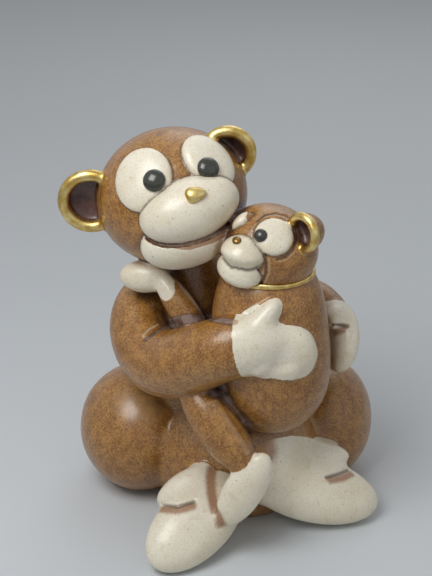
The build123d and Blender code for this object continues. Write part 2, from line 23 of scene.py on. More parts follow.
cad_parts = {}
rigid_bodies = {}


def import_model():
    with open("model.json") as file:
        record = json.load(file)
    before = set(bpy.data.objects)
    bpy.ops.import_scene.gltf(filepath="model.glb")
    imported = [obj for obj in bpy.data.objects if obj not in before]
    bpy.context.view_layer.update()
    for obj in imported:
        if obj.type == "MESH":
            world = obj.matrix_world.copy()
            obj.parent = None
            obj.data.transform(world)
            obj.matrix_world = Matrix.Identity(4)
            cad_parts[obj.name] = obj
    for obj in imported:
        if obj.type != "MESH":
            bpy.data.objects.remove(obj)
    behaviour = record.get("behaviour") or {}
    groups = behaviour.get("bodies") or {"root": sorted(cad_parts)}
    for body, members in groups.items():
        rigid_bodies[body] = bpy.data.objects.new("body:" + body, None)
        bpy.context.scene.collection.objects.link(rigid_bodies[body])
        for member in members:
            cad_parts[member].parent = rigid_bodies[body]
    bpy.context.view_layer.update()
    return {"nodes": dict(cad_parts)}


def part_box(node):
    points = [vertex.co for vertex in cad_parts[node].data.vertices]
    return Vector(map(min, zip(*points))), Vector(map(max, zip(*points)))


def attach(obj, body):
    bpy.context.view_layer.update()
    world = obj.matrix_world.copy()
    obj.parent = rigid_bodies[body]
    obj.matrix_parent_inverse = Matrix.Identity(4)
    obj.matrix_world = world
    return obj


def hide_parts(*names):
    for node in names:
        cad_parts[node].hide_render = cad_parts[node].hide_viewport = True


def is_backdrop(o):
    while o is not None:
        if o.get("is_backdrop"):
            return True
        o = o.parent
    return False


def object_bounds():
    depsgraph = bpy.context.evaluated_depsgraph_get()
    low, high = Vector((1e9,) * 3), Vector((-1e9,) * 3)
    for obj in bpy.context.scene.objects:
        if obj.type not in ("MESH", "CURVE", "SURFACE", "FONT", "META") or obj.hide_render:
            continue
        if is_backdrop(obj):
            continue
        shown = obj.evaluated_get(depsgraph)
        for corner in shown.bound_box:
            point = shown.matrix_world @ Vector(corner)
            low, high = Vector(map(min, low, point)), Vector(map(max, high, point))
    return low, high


log = logging.getLogger("monkey")

MM = 0.001
BODY = "root"
# A voxel of half a millimetre still holds a groove of the modelling tool.
FINE_VOXEL = 0.5 * MM

Pixel = tuple[float, float]


class Slot(Enum):
    """The record's material slots."""

    BROWN = "brown_antique"
    CREAM = "cream_glaze"
    GOLD = "gold_lustre"
    PUPIL = "pupil_gloss"
    UMBER = "ear_umber"
    LIP = "lip_wash"


class Paint(Enum):
    """The columns of the skin's paint, which the clay's material reads as two colour attributes."""

    CREAM = 0
    GOLD = 1
    UMBER = 2
    LIP = 3
    # The fifth column is dark stain in the creases together with painted shade in the hollows; the sixth is
    # paint worn off the ridges together with painted highlights on them.
    WASH = 4
    RUB = 5
    LINE = 6
    HAZE = 7


COATS = "coats"
# The second attribute holds the dark stain with painted shade, worn paint with painted highlight, the lines
# and the haze.
WEAR_AND_PAINTED_LIGHT = "wear"
NORMAL = "clay_normal"
PART = "part_"


def linear(hex_colour: str) -> tuple[float, float, float, float]:
    """A colour for a socket.

    Args:
        hex_colour: the sRGB colour, as six hex digits.

    Returns:
        The linear colour with an alpha of one.
    """
    parts = [int(hex_colour[i : i + 2], 16) / 255 for i in (0, 2, 4)]
    channels = [p / 12.92 if p <= 0.04045 else ((p + 0.055) / 1.055) ** 2.4 for p in parts]
    return (*channels, 1.0)


def smooth_step(low: float, high: float, value: np.ndarray) -> np.ndarray:
    """Zero below low, one above high, and an even curve between them."""
    share = np.clip((value - low) / (high - low), 0.0, 1.0)
    return share * share * (3.0 - 2.0 * share)


def hang_paint(mesh: bpy.types.Mesh, paint: np.ndarray) -> None:
    """Gives a mesh the paint's columns as its two colour attributes, for the clay's material to read."""
    first_wear_and_painted_light = Paint.WASH.value
    for name, columns in ((COATS, paint[:, :first_wear_and_painted_light]), (WEAR_AND_PAINTED_LIGHT, paint[:, first_wear_and_painted_light:])):
        attribute = mesh.attributes.new(name, "FLOAT_COLOR", "POINT")
        attribute.data.foreach_set("color", np.clip(columns, 0, 1).astype(np.float32).ravel())


@dataclass
class PhotoCamera:
    """The camera at the photograph's viewing angle, whose frame is 432 by 576 pixels."""

    elevation: float = 25.0
    distance: float = 520 * MM
    aim_height: float = 92 * MM
    focal_px: float = 1300.0
    frame_px: tuple[int, int] = (432, 576)
    film_mm: float = 36.0

    @property
    def place(self) -> Vector:
        """Where the camera stands."""
        rise = math.radians(self.elevation)
        reach = Vector((0, -math.cos(rise), math.sin(rise))) * self.distance
        return Vector((0, 0, self.aim_height)) + reach

    @property
    def turn(self) -> Matrix:
        """The camera's rotation."""
        return Matrix.Rotation(math.radians(90 - self.elevation), 3, "X")

    def build(self) -> None:
        """Makes the camera that the scene is seen through."""
        lens = bpy.data.cameras.new("photo_camera")
        lens.sensor_width = self.film_mm
        lens.lens = self.focal_px * self.film_mm / max(self.frame_px)
        lens.clip_start = 10 * MM
        camera = bpy.data.objects.new("photo_camera", lens)
        camera.matrix_world = Matrix.Translation(self.place) @ self.turn.to_4x4()
        bpy.context.scene.collection.objects.link(camera)
        bpy.context.scene.camera = camera

    def ray(self, pixel: Pixel) -> Vector:
        """The direction from the camera through a pixel of the photograph."""
        width, height = self.frame_px
        across, down = pixel
        local = Vector((across - width / 2, height / 2 - down, -self.focal_px))
        return (self.turn @ local).normalized()


@dataclass(frozen=True)
class Stroke:
    """One stroke of the brush or the thumb, followed through pixels of the photograph onto the skin.

    Width, soft edge and depth are metres. A depth presses the clay in, and a negative one raises it. A smear
    is how often the thumb goes over it. A stroke that wipes takes its paint off, and a push shifts the clay.
    """

    name: str
    paint: Paint | None
    path: tuple[Pixel, ...]
    width: float
    soft: float
    strength: float = 1.0
    depth: float = 0.0
    on: tuple[str, ...] = ()
    smear: int = 0
    wipes: bool = False
    push: tuple[float, float, float] = (0.0, 0.0, 0.0)


@dataclass(frozen=True)
class Groove:
    """A line incised where two sets of pieces meet, in metres."""

    name: str
    one_side: tuple[str, ...]
    other_side: tuple[str, ...]
    width: float = 0.55 * MM
    depth: float = 0.40 * MM


@dataclass(frozen=True)
class Fillet:
    """A crease between two sets of pieces that a wet finger rounded, most in the core share of its reach."""

    one_side: tuple[str, ...]
    other_side: tuple[str, ...]
    reach: float = 6 * MM
    rounds: int = 40
    core_share: float = 0.3


@dataclass
class ClaySkin:
    """The soft clay surface over the luted pieces, parted into one piece for each CAD node.

    Lengths are metres. Rounds are how often values even out with their neighbours', each time by the mixing
    share. The reach of a groove is in its own widths.
    """

    nodes: dict[str, bpy.types.Object]
    members: tuple[str, ...]
    voxel: float
    mixing: float = 0.5
    smoothings: int = 5
    uneven: float = 0.25 * MM
    uneven_length: float = 13 * MM
    groove_reach: float = 4.0
    groove_rounds: int = 1
    fine_rounds: int = 10
    stained_depths: tuple[float, float] = (0.03 * MM, 0.20 * MM)
    stain_strength: float = 0.7
    stain_rounds: int = 1
    # Ridges higher than these are painted lighter, for worn paint and as painted highlight.
    rubbed_and_highlit_heights: tuple[float, float] = (0.03 * MM, 0.14 * MM)
    rub_and_highlight_rounds: int = 2
    # Hollows that hide more of the sky than these shares are painted with shade.
    washed_and_shaded_shares: tuple[float, float] = (0.14, 0.62)
    hollow_reach: float = 16 * MM
    hollow_rays: int = 16
    hollow_step: int = 4
    hollow_rounds: int = 8
    hollow_lean: float = 1.02
    least_known: float = 1e-6
    push_rounds: int = 4
    path_step_px: float = 1.5
    mesh: bpy.types.Mesh = field(init=False)
    tree: BVHTree = field(init=False)
    region: np.ndarray = field(init=False)
    places: np.ndarray = field(init=False)
    normals: np.ndarray = field(init=False)
    one_end: np.ndarray = field(init=False)
    other_end: np.ndarray = field(init=False)
    degree: np.ndarray = field(init=False)
    paint: np.ndarray = field(init=False)

    def cast(self) -> None:
        """Joins copies of the nodes, remeshes them as one skin, and finds each vertex's node."""
        joined = bmesh.new()
        ends = []
        for name in self.members:
            joined.from_mesh(self.nodes[name].data)
            ends.append(len(joined.faces))
        tree = BVHTree.FromBMesh(joined)
        mesh = bpy.data.meshes.new("clay")
        joined.to_mesh(mesh)
        joined.free()
        lump = bpy.data.objects.new("clay", mesh)
        bpy.context.scene.collection.objects.link(lump)
        voxels = lump.modifiers.new("voxels", "REMESH")
        voxels.mode = "VOXEL"
        voxels.voxel_size = self.voxel
        evaluated = lump.evaluated_get(bpy.context.evaluated_depsgraph_get())
        self.mesh = bpy.data.meshes.new_from_object(evaluated)
        bpy.data.objects.remove(lump)
        bpy.data.meshes.remove(mesh)
        self.keep_outside()
        hits = [tree.find_nearest(vertex.co)[2] for vertex in self.mesh.vertices]
        self.region = np.searchsorted(np.array(ends), np.array(hits), side="right")
        self.read()
        log.info("clay skin of %d vertices", len(self.region))

    def keep_outside(self) -> None:
        """Deletes the closed bubbles that touching pieces leave inside the skin."""
        shell = bmesh.new()
        shell.from_mesh(self.mesh)
        top = max(shell.verts, key=lambda vertex: vertex.co.z)
        found = {top}
        waiting = [top]
        while waiting:
            for edge in waiting.pop().link_edges:
                for vertex in edge.verts:
                    if vertex not in found:
                        found.add(vertex)
                        waiting.append(vertex)
        inside = [vertex for vertex in shell.verts if vertex not in found]
        bmesh.ops.delete(shell, geom=inside, context="VERTS")
        shell.to_mesh(self.mesh)
        shell.free()
        log.info("%d inner vertices removed", len(inside))

    def read(self) -> None:
        """Reads the places, edges and normals of the skin into arrays."""
        count = len(self.mesh.vertices)
        flat = np.empty(count * 3)
        self.mesh.vertices.foreach_get("co", flat)
        self.places = flat.reshape(-1, 3)
        ends = np.empty(len(self.mesh.edges) * 2, dtype=np.int64)
        self.mesh.edges.foreach_get("vertices", ends)
        self.one_end = ends[0::2]
        self.other_end = ends[1::2]
        self.degree = np.bincount(ends, minlength=count).astype(float)
        self.paint = np.zeros((count, len(Paint)))
        self.find_normals()

    def find_normals(self) -> None:
        """Reads the vertex normals from the mesh."""
        flat = np.empty(len(self.mesh.vertices) * 3)
        self.mesh.vertex_normals.foreach_get("vector", flat)
        self.normals = flat.reshape(-1, 3)

    def write(self) -> None:
        """Writes the moved places back to the mesh."""
        self.places[:, 2] = np.maximum(self.places[:, 2], 0.0)
        self.mesh.vertices.foreach_set("co", self.places.ravel())
        self.mesh.update()
        self.find_normals()

    def spread(self, values: np.ndarray, rounds: int) -> np.ndarray:
        """Evens values out over the surface, as wet paint runs.

        Args:
            values: one number or row for each vertex.
            rounds: how many times each vertex mixes with its neighbours.

        Returns:
            The evened values.
        """
        table = values.reshape(len(values), -1).astype(float)
        for _ in range(rounds):
            mean = np.empty_like(table)
            for column in range(table.shape[1]):
                own = table[:, column]
                total = np.bincount(self.one_end, own[self.other_end], len(own))
                total += np.bincount(self.other_end, own[self.one_end], len(own))
                mean[:, column] = total / self.degree
            table = table + self.mixing * (mean - table)
        return table.reshape(values.shape)

    def where(self, names: Sequence[str]) -> np.ndarray:
        """One where a vertex belongs to one of the named nodes, and zero elsewhere."""
        wanted = [self.members.index(name) for name in names]
        return np.isin(self.region, wanted).astype(float)

    def border(self, one_side: Sequence[str], other_side: Sequence[str]) -> np.ndarray:
        """The points where two sets of nodes meet."""
        first = self.where(one_side) > 0
        second = self.where(other_side) > 0
        one, other = self.one_end, self.other_end
        meets = (first[one] & second[other]) | (second[one] & first[other])
        return (self.places[one[meets]] + self.places[other[meets]]) / 2

    def distance(self, points: np.ndarray, reach: float) -> np.ndarray:
        """How far each vertex is from the nearest of some points, and reach where that is further."""
        found = np.full(len(self.places), reach)
        if not len(points):
            return found
        tree = KDTree(len(points))
        for i, point in enumerate(points):
            tree.insert(point, i)
        tree.balance()
        low = points.min(0) - reach
        high = points.max(0) + reach
        near = np.all((self.places > low) & (self.places < high), axis=1)
        for i in np.flatnonzero(near):
            found[i] = min(reach, tree.find(self.places[i])[2])
        return found

    def smooth(self) -> None:
        """Takes the voxels' steps off, and lets the surface wander inwards as hand-finished clay does."""
        self.places = self.spread(self.places, self.smoothings)
        scale = 1 / self.uneven_length
        wander = np.array([noise.noise(Vector(place) * scale) for place in self.places])
        self.write()
        self.places = self.places - self.normals * (self.uneven * (0.5 + 0.5 * wander))[:, None]
        self.write()

    def round_off(self, fillet: Fillet) -> None:
        """Smooths a crease where two castings were luted."""
        points = self.border(fillet.one_side, fillet.other_side)
        share = self.distance(points, fillet.reach) / fillet.reach
        near = 1 - smooth_step(fillet.core_share, 1.0, share)
        self.knead(near, fillet.rounds)

    def knead(self, where: np.ndarray, rounds: int) -> None:
        """Evens the surface where it is worked.

        Args:
            where: how much each vertex gives way, from zero to one.
            rounds: how many times it is worked over.
        """
        touched = (where[self.one_end] > 0) | (where[self.other_end] > 0)
        one, other = self.one_end[touched], self.other_end[touched]
        give = self.mixing * where
        for _ in range(rounds):
            for axis in range(3):
                own = self.places[:, axis]
                total = np.bincount(one, own[other], len(own)) + np.bincount(other, own[one], len(own))
                self.places[:, axis] = own + give * (total / self.degree - own) * (where > 0)
        self.write()

    def incise(self, groove: Groove) -> None:
        """Presses a groove in along a border and leaves the dark wash in it."""
        points = self.border(groove.one_side, groove.other_side)
        gap = self.distance(points, self.groove_reach * groove.width)
        line = self.spread(np.exp(-((gap / groove.width) ** 2)), self.groove_rounds)
        self.places = self.places - self.normals * (groove.depth * line)[:, None]
        self.lay(Paint.LINE, line)
        self.write()
        log.info("groove %s on %d border points", groove.name, len(points))

    def lay(self, paint: Paint, amount: np.ndarray) -> None:
        """Adds paint where there is less of it than the amount."""
        self.paint[:, paint.value] = np.maximum(self.paint[:, paint.value], amount)

    def follow(self, stroke: Stroke, camera: PhotoCamera) -> np.ndarray:
        """The points where the rays through a stroke's path meet the nodes it lies on."""
        spots = []
        for start, end in zip(stroke.path, stroke.path[1:]):
            steps = max(2, int(math.dist(start, end) / self.path_step_px))
            for share in np.linspace(0.0, 1.0, steps):
                pixel = tuple(a + (b - a) * share for a, b in zip(start, end))
                place, _, face, _ = self.tree.ray_cast(camera.place, camera.ray(pixel))
                if place is not None and self.lies_on(face, stroke.on):
                    spots.append(place)
        return np.array(spots).reshape(-1, 3)

    def stroke(self, stroke: Stroke, camera: PhotoCamera) -> None:
        """Lays a stroke, and presses, shifts or smears the clay under it."""
        spots = self.follow(stroke, camera)
        reach = stroke.width / 2 + stroke.soft
        gap = self.distance(spots, reach)
        amount = stroke.strength * (1 - smooth_step(stroke.width / 2, reach, gap))
        if stroke.on:
            amount = amount * self.where(stroke.on)
        if stroke.wipes:
            left = self.paint[:, stroke.paint.value]
            self.paint[:, stroke.paint.value] = np.minimum(left, 1 - amount)
        elif stroke.paint is not None:
            self.lay(stroke.paint, amount)
        self.places = self.places - self.normals * (stroke.depth * amount)[:, None]
        if any(stroke.push):
            shifted = self.spread(amount, self.push_rounds)
            self.places = self.places + shifted[:, None] * np.array(stroke.push)
        if stroke.smear:
            self.knead(amount, stroke.smear)
        log.info("stroke %s on %d spots", stroke.name, len(spots))

    def lies_on(self, face: int, names: Sequence[str]) -> bool:
        """Whether a face of the skin belongs to one of the named nodes, or to any if there are none."""
        vertex = self.mesh.polygons[face].vertices[0]
        return not names or self.members[self.region[vertex]] in names

    def make_tree(self) -> None:
        """Makes the tree that finds where a ray meets the skin as it now is."""
        shell = bmesh.new()
        shell.from_mesh(self.mesh)
        self.tree = BVHTree.FromBMesh(shell)
        shell.free()

    def age(self) -> None:
        """Leaves dark stain in the fine creases, paints shade into the hollows together with the stain that
        settles there, and paints the ridges lighter, for worn paint and as highlight.
        """
        fine = self.curve(self.fine_rounds)
        stain = self.stain_strength * smooth_step(*self.stained_depths, fine)
        self.lay(Paint.LINE, self.spread(stain, self.stain_rounds))
        # Painted highlight with worn paint: ridges higher than their surroundings are painted lighter.
        rubbed_and_highlit = smooth_step(*self.rubbed_and_highlit_heights, -fine)
        self.lay(Paint.RUB, self.spread(rubbed_and_highlit, self.rub_and_highlight_rounds))
        # Painted shade: the more of the sky the clay nearby hides, the darker a vertex is painted, together
        # with the stain that settles there.
        self.lay(Paint.WASH, smooth_step(*self.washed_and_shaded_shares, self.hollows()))

    def hollows(self) -> np.ndarray:
        """How much of the sky above each vertex the clay nearby hides, from zero to one."""
        golden_angle = math.pi * (3 - math.sqrt(5))
        turn = np.arange(self.hollow_rays) * golden_angle
        rise = 1 - (2 * np.arange(self.hollow_rays) + 1) / self.hollow_rays
        flat = np.sqrt(1 - rise**2)
        ball = np.stack((flat * np.cos(turn), flat * np.sin(turn), rise), axis=1)
        chosen = np.arange(0, len(self.places), self.hollow_step)
        lifted = (self.places[chosen] + self.normals[chosen] * self.voxel / 2).tolist()
        # A unit ball that leans on the normal gives rays spread as sky light is, and none lies flat.
        rays = (self.normals[chosen][:, None, :] * self.hollow_lean + ball).tolist()
        hidden = np.zeros(len(self.places))
        known = np.zeros(len(self.places))
        known[chosen] = 1.0
        cast = self.tree.ray_cast
        for spot, start, directions in zip(chosen, lifted, rays):
            total = 0.0
            for direction in directions:
                gap = cast(start, direction, self.hollow_reach)[3]
                if gap is not None:
                    total += 1 - gap / self.hollow_reach
            hidden[spot] = total / self.hollow_rays
        both = self.spread(np.stack((hidden, known), axis=1), self.hollow_rounds)
        return both[:, 0] / np.maximum(both[:, 1], self.least_known)

    def curve(self, rounds: int) -> np.ndarray:
        """How deep each vertex lies below its evened surroundings in metres, less than zero on a ridge."""
        return np.einsum("ij,ij->i", self.spread(self.places, rounds) - self.places, self.normals)

    def part(self) -> dict[str, bpy.types.Object]:
        """Parts the skin along the nodes' borders.

        Returns:
            One object for each node, with smooth shading across the borders.
        """
        hang_paint(self.mesh, self.paint)
        kept = self.mesh.attributes.new(NORMAL, "FLOAT_VECTOR", "POINT")
        kept.data.foreach_set("vector", self.normals.astype(np.float32).ravel())
        faces = len(self.mesh.polygons)
        first = np.empty(faces, dtype=np.int64)
        self.mesh.polygons.foreach_get("loop_start", first)
        corners = np.empty(len(self.mesh.loops), dtype=np.int64)
        self.mesh.loops.foreach_get("vertex_index", corners)
        for name in self.members:
            self.mesh.materials.append(bpy.data.materials.new(PART + name))
        self.mesh.polygons.foreach_set("material_index", self.region[corners[first]].astype(np.int32))
        whole = bpy.data.objects.new("clay", self.mesh)
        bpy.context.scene.collection.objects.link(whole)
        before = set(bpy.data.objects)
        bpy.context.view_layer.objects.active = whole
        whole.select_set(True)
        bpy.ops.object.mode_set(mode="EDIT")
        bpy.ops.mesh.separate(type="MATERIAL")
        bpy.ops.object.mode_set(mode="OBJECT")
        found = {}
        for piece in [whole, *(set(bpy.data.objects) - before)]:
            marker = piece.data.materials[piece.data.polygons[0].material_index]
            name = marker.name.removeprefix(PART)
            found[name] = self.finish(piece, name)
        return found

    def finish(self, piece: bpy.types.Object, name: str) -> bpy.types.Object:
        """Names a parted piece, and shades it with the whole skin's normals."""
        mesh = piece.data
        piece.name = f"{name}_clay"
        mesh.name = piece.name
        mesh.materials.clear()
        mesh.polygons.foreach_set("material_index", np.zeros(len(mesh.polygons), dtype=np.int32))
        mesh.polygons.foreach_set("use_smooth", np.ones(len(mesh.polygons), dtype=bool))
        flat = np.empty(len(mesh.vertices) * 3, dtype=np.float32)
        mesh.attributes[NORMAL].data.foreach_get("vector", flat)
        mesh.normals_split_custom_set_from_vertices(flat.reshape(-1, 3))
        mesh.attributes.remove(mesh.attributes[NORMAL])
        return piece


@dataclass
class NodeBench:
    """A node tree, with one way to add a node and one to feed a socket."""

    tree: bpy.types.NodeTree

    def add(self, kind: str, settings: dict[str, Any] | None = None, inputs: dict | None = None) -> Any:
        """Adds a node.

        Args:
            kind: the node's type name.
            settings: its own properties.
            inputs: a value, or another node's output, for each of its inputs.

        Returns:
            The node.
        """
        made = self.tree.nodes.new(kind)
        for key, value in (settings or {}).items():
            setattr(made, key, value)
        for key, value in (inputs or {}).items():
            self.link(value, made.inputs[key])
        return made

    def link(self, value: Any, socket: bpy.types.NodeSocket) -> None:
        """Links an output to a socket, or sets the socket to a value or a hex colour."""
        if isinstance(value, bpy.types.NodeSocket):
            self.tree.links.new(value, socket)
        else:
            socket.default_value = linear(value) if isinstance(value, str) else value


@dataclass(frozen=True)
class Coat:
    """A coat that covers what is under it by how far a pattern is from low to high, up to its most."""

    over: Any
    pattern: Any
    low: float = 0.0
    high: float = 1.0
    most: float = 1.0


@dataclass
class PaintedClay:
    """Biscuit-fired clay, stained brown and slipped cream by hand, gilded on the rims, under a satin varnish.

    The stain is mottled by the brush at about 4 mm and speckled by the grit of the clay at under 1 mm. The
    dark stain lies in the creases with painted shade in the hollows, and the worn ridges carry painted
    highlights. The varnish gives a broad soft highlight.
    """

    cloud: float = 19 * MM
    mottle: float = 3.6 * MM
    grit: float = 0.70 * MM
    pinhole_spacing: float = 2.6 * MM
    bump_height: float = 0.14 * MM
    bump_strength: float = 0.6
    varnish: float = 0.40
    varnish_roughness: float = 0.22
    bench: NodeBench = field(init=False)

    def build(self, name: str) -> bpy.types.Material:
        """Makes the material.

        Args:
            name: what the piece that takes it mostly shows.

        Returns:
            The material, which reads the skin's two paint attributes.
        """
        material = bpy.data.materials.new(name)
        material.use_nodes = True
        self.bench = NodeBench(material.node_tree)
        add, link = self.bench.add, self.bench.link
        shader = self.bench.tree.nodes["Principled BSDF"]
        place = add("ShaderNodeTexCoord").outputs["Object"]
        coats = add("ShaderNodeAttribute", {"attribute_name": COATS})
        wear = add("ShaderNodeAttribute", {"attribute_name": WEAR_AND_PAINTED_LIGHT})
        cream, gold, umber = add("ShaderNodeSeparateColor", {}, {0: coats.outputs["Color"]}).outputs
        # Dark stain with painted shade, worn paint with painted highlight, and the incised lines.
        wash, rub_and_highlight, line = add("ShaderNodeSeparateColor", {}, {0: wear.outputs["Color"]}).outputs
        lip, haze = coats.outputs["Alpha"], wear.outputs["Alpha"]
        cloud, mottle, grit = (
            add("ShaderNodeTexNoise", {}, {"Vector": place, "Scale": 1 / length, "Detail": fine}).outputs[0]
            for length, fine in ((self.cloud, 3.0), (self.mottle, 5.0), (self.grit, 2.0))
        )
        spacing = {"Vector": place, "Scale": 1 / self.pinhole_spacing, "Randomness": 1.0}
        holes = add("ShaderNodeTexVoronoi", {}, spacing)
        chance = add("ShaderNodeSeparateColor", {}, {0: holes.outputs["Color"]}).outputs[0]
        # Each row is a pattern, a share of it, and what it is added to, so that coats fray at their edges.
        pitted, rubbed_and_highlit, hazed, ragged, leafed, stippled_stain_and_shade, sheen, relief = (
            add("ShaderNodeMath", {"operation": "MULTIPLY_ADD"}, {0: one, 1: share, 2: other}).outputs[0]
            for one, share, other in (
                (chance, -0.60, holes.outputs["Distance"]),
                (grit, 0.60, rub_and_highlight),
                (grit, 0.70, haze),
                (mottle, 0.30, cream),
                (mottle, 0.25, gold),
                (grit, 0.35, wash),
                (mottle, 0.18, 0.27),
                (grit, 0.55, mottle),
            )
        )
        edging = {0: grit, 1: 0.35, 2: ragged}
        edged = add("ShaderNodeMath", {"operation": "MULTIPLY_ADD"}, edging).outputs[0]

        # Mauve dust with paler mottled glints painted on it, for the deepest hollows.
        mauve_dust_and_glints = self.lay("5e4338", Coat("a28e87", mottle, 0.38, 0.62))
        brown = self.lay(
            "8a5a24",
            Coat("a97838", mottle, 0.30, 0.70),
            Coat("b59362", cloud, 0.50, 0.78, 0.30),
            Coat("4f2e0f", grit, 0.50, 0.68, 0.55),
            Coat("c59e63", grit, 0.46, 0.31, 0.42),
            # Worn paint with painted highlight: pale tan on the ridges.
            Coat("c2ab8c", rubbed_and_highlit, 0.50, 1.35, 0.75),
            # Painted shade: dark brown in creases and hollows with the stain there, and mauve dust with
            # painted glints in the deepest ones.
            Coat("472c18", stippled_stain_and_shade, 0.14, 0.74, 0.78),
            Coat(mauve_dust_and_glints, stippled_stain_and_shade, 0.55, 1.05, 0.75),
        )
        slip = self.lay(
            "ebe4d0",
            Coat("dccfb2", cloud, 0.42, 0.66, 0.55),
            Coat("cbb995", mottle, 0.55, 0.75, 0.35),
            Coat("c8b592", grit, 0.54, 0.72, 0.25),
            Coat("7d5f42", pitted, -0.40, -0.48, 0.50),
            # Painted shade: the cream turns warm brown in creases and hollows, with the stain there.
            Coat("b28e68", stippled_stain_and_shade, 0.40, 1.25, 0.80),
            Coat("a58063", hazed, 0.25, 1.40, 1.0),
        )
        # The lip stain, painted darker in the hollows as shade.
        pink = self.lay("ad8a6c", Coat("7a4d36", wash, 0.25, 1.0))
        bowl = self.lay("381a12", Coat("5d3d34", mottle, 0.35, 0.68))
        shine = Coat("e6cf8e", mottle, 0.35, 0.65)
        # Gold lustre, painted darker as shade where the clay hides the sky, and where stain lies on it.
        leaf = self.lay("c9a453", shine, Coat("7c5526", wash, 0.20, 0.90, 0.8))
        colour = self.lay(
            brown,
            Coat(slip, edged, 0.70, 0.94),
            Coat(pink, lip, 0.35, 0.65),
            Coat(bowl, umber, 0.30, 0.70),
            Coat(leaf, leafed, 0.54, 0.70),
            Coat("46291b", line, 0.15, 1.0, 0.80),
        )
        metal = self.lay("000000", Coat("ffffff", leafed, 0.54, 0.70), Coat("000000", line, 0.2, 0.9))
        grain = {"Strength": self.bump_strength, "Distance": self.bump_height, "Height": relief}
        bump = add("ShaderNodeBump", {}, grain)
        link(colour, shader.inputs["Base Color"])
        link(metal, shader.inputs["Metallic"])
        link(sheen, shader.inputs["Roughness"])
        link(bump.outputs["Normal"], shader.inputs["Normal"])
        link(self.varnish, shader.inputs["Coat Weight"])
        link(self.varnish_roughness, shader.inputs["Coat Roughness"])
        return material

    def lay(self, under: Any, *coats: Coat) -> Any:
        """Lays coats one over another.

        Args:
            under: the colour they go on, a hex value or an output.
            coats: the coats, lowest first.

        Returns:
            The output that gives their colour.
        """
        for coat in coats:
            span = {"Value": coat.pattern, "From Min": coat.low, "From Max": coat.high, "To Max": coat.most}
            ramp = self.bench.add("ShaderNodeMapRange", {"interpolation_type": "SMOOTHSTEP"}, span)
            colours = {0: ramp.outputs[0], 6: under, 7: coat.over}
            under = self.bench.add("ShaderNodeMix", {"data_type": "RGBA"}, colours).outputs[2]
        return under


@dataclass(frozen=True)
class PupilGloss:
    """Black-green enamel dotted on thick and fired, with a gloss that handling has dulled a little."""

    colour: str = "23241d"
    worn_colour: str = "3d3d33"
    speck: float = 1.1 * MM
    roughness: float = 0.24
    glaze: float = 0.4
    glaze_roughness: float = 0.12

    def build(self) -> bpy.types.Material:
        """Makes the material."""
        material = bpy.data.materials.new("pupil_enamel")
        material.use_nodes = True
        bench = NodeBench(material.node_tree)
        shader = bench.tree.nodes["Principled BSDF"]
        place = bench.add("ShaderNodeTexCoord").outputs["Object"]
        specks = bench.add("ShaderNodeTexNoise", {}, {"Vector": place, "Scale": 1 / self.speck})
        colours = {0: specks.outputs["Fac"], 6: self.colour, 7: self.worn_colour}
        tint = bench.add("ShaderNodeMix", {"data_type": "RGBA"}, colours)
        bench.link(tint.outputs[2], shader.inputs["Base Color"])
        bench.link(self.roughness, shader.inputs["Roughness"])
        bench.link(self.glaze, shader.inputs["Coat Weight"])
        bench.link(self.glaze_roughness, shader.inputs["Coat Roughness"])
        return material


@dataclass(frozen=True)
class Droplet:
    """A small piece set on the skin, made from its CAD node: a pupil, a nose or the collar.

    Grow is its size beside the node's, and pinch is how much wider its top and narrower its foot are. Tilt
    turns it by degrees, and wash is how much stain lies on its gold.
    """

    node: str
    slot: Slot
    grow: float = 1.0
    pinch: float = 0.0
    tilt: float = 0.0
    wash: float = 0.0
    weld: float = 0.002 * MM

    def build(self, nodes: dict[str, bpy.types.Object]) -> bpy.types.Object:
        """Copies the node, merges its doubles and shapes the copy.

        Args:
            nodes: the frame's nodes by name.

        Returns:
            The small piece, smoothly shaded.
        """
        drop = bmesh.new()
        drop.from_mesh(nodes[self.node].data)
        bmesh.ops.remove_doubles(drop, verts=drop.verts, dist=self.weld)
        low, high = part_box(self.node)
        middle = (low + high) / 2
        half = (high.z - low.z) / 2
        turn = Matrix.Rotation(math.radians(self.tilt), 3, "Y")
        for vertex in drop.verts:
            local = turn.inverted() @ (vertex.co - middle)
            rise = local.z / half
            local.x *= self.grow * (1 + self.pinch * min(1.0, max(-1.0, rise)))
            local.z *= self.grow
            vertex.co = middle + turn @ local
        mesh = bpy.data.meshes.new(f"{self.node}_drop")
        drop.to_mesh(mesh)
        drop.free()
        mesh.polygons.foreach_set("use_smooth", np.ones(len(mesh.polygons), dtype=bool))
        made = bpy.data.objects.new(f"{self.node}_drop", mesh)
        bpy.context.scene.collection.objects.link(made)
        return made


